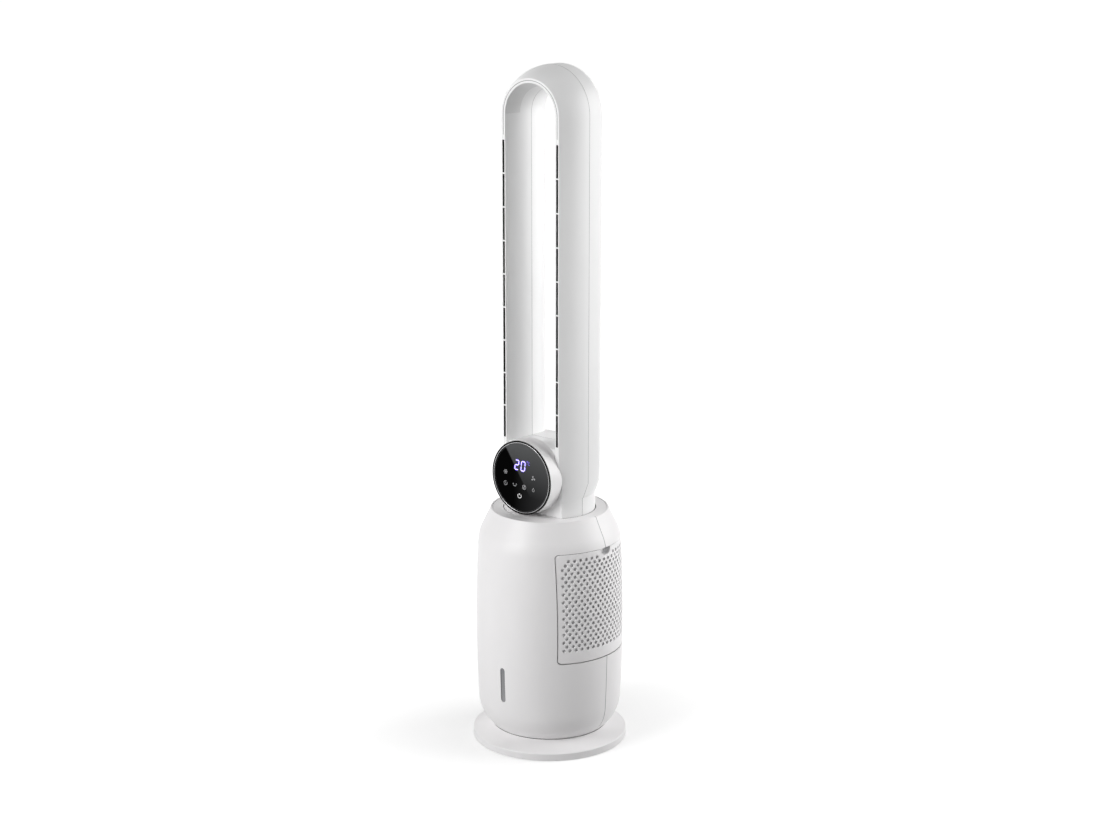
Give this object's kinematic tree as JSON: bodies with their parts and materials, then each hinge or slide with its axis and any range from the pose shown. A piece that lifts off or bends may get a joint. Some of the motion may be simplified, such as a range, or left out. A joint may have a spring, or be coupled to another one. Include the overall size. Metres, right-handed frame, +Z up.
{
  "type": "bladeless tower fan",
  "caption": "Tall bladeless tower fan: a slotted stadium loop swings on a barrel housing with perforated side covers, a pull-out water tank and a round base.",
  "frame": {"origin": "on the floor, on the axis about which the tower swings, at the centre of the base disc", "axes": "+Z up, front with the display towards -Y, +X to the right when seen from the front"},
  "size_m": [0.25, 0.25, 1.089],
  "materials": {
    "white_plastic": "glossy moulded white plastic",
    "inner_plastic": "matt light grey moulding inside the housing",
    "black_plastic": "matt black liner",
    "black_glass": null,
    "bright_ring": "polished thin ring",
    "window_grey": "tinted level window",
    "tank_plastic": "frosted bluish tank plastic",
    "rubber": "dark rubber",
    "hose": "milky silicone hose",
    "steel": "zinc-plated steel",
    "motor_steel": "dark motor can",
    "board": "green circuit board",
    "component": "dark electronic components",
    "digits": "light block of the digits",
    "pad_paper": "honeycomb evaporative paper",
    "mesh": "fine dust mesh",
    "gear": "acetal, natural white"
  },
  "bodies": {
    "housing": {"base_disc": "white_plastic", "rubber_feet": "rubber", "ballast_ring": "steel", "base_screws": "steel", "bottom_tray": "inner_plastic", "front_shell": "white_plastic", "rear_shell": "white_plastic", "level_window": "window_grey", "top_ring": "white_plastic", "mid_deck": "inner_plastic", "upper_deck": "inner_plastic", "side_frames": "inner_plastic", "water_hose": "hose", "drip_troughs": "inner_plastic", "blower_duct": "inner_plastic", "duct_screws": "steel", "blower_motor": "motor_steel", "motor_cap": "inner_plastic", "swing_motor": "steel", "slide_ring": "gear", "main_board": "board", "board_parts": "component", "power_inlet": "black_plastic"},
    "tower": {"turntable": "white_plastic", "swing_rack": "gear", "retainer_ring": "inner_plastic", "loop_front_shell": "white_plastic", "loop_rear_shell": "white_plastic", "nozzle_strips": "black_plastic", "display_drum": "white_plastic", "display_bezel": "bright_ring", "display_glass": "black_glass", "display_board": "board", "digit_module": "digits"},
    "pinion": {"swing_pinion": "gear"},
    "fan_wheel": {"motor_shaft": "steel", "impeller": "inner_plastic", "impeller_nut": "steel"},
    "right_cover_set": {"right_cover": "white_plastic", "right_filter": "mesh", "right_pad": "pad_paper", "right_pad_clips": "inner_plastic"},
    "left_cover_set": {"left_cover": "white_plastic", "left_filter": "mesh", "left_pad": "pad_paper", "left_pad_clips": "inner_plastic"},
    "tank": {"water_tank": "tank_plastic", "tank_front": "white_plastic", "water_pump": "component"}
  },
  "joints": [
    {"name": "tower_swing", "type": "hinge", "parent": "housing", "child": "tower", "pos_m": [0, 0, 0.3865], "axis": [0, 0, 1], "range_deg": [-40, 40]},
    {"name": "pinion_spin", "type": "hinge", "parent": "housing", "child": "pinion", "pos_m": [0, 0.07875, 0.376], "axis": [0, 0, 1], "range_deg": [-245, 245]},
    {"name": "fan_spin", "type": "hinge", "parent": "housing", "child": "fan_wheel", "pos_m": [0, 0, 0.28], "axis": [0, 0, 1], "continuous": true},
    {"name": "right_cover_off", "type": "slide", "parent": "housing", "child": "right_cover_set", "axis": [1, 0, 0], "range_m": [0, 0.06]},
    {"name": "left_cover_off", "type": "slide", "parent": "housing", "child": "left_cover_set", "axis": [-1, 0, 0], "range_m": [0, 0.06]},
    {"name": "tank_out", "type": "slide", "parent": "housing", "child": "tank", "axis": [0, 1, 0], "range_m": [0, 0.24]}
  ],
  "couplings": [
    {"joint": "pinion_spin", "follows": "tower_swing", "ratio": -6}
  ]
}
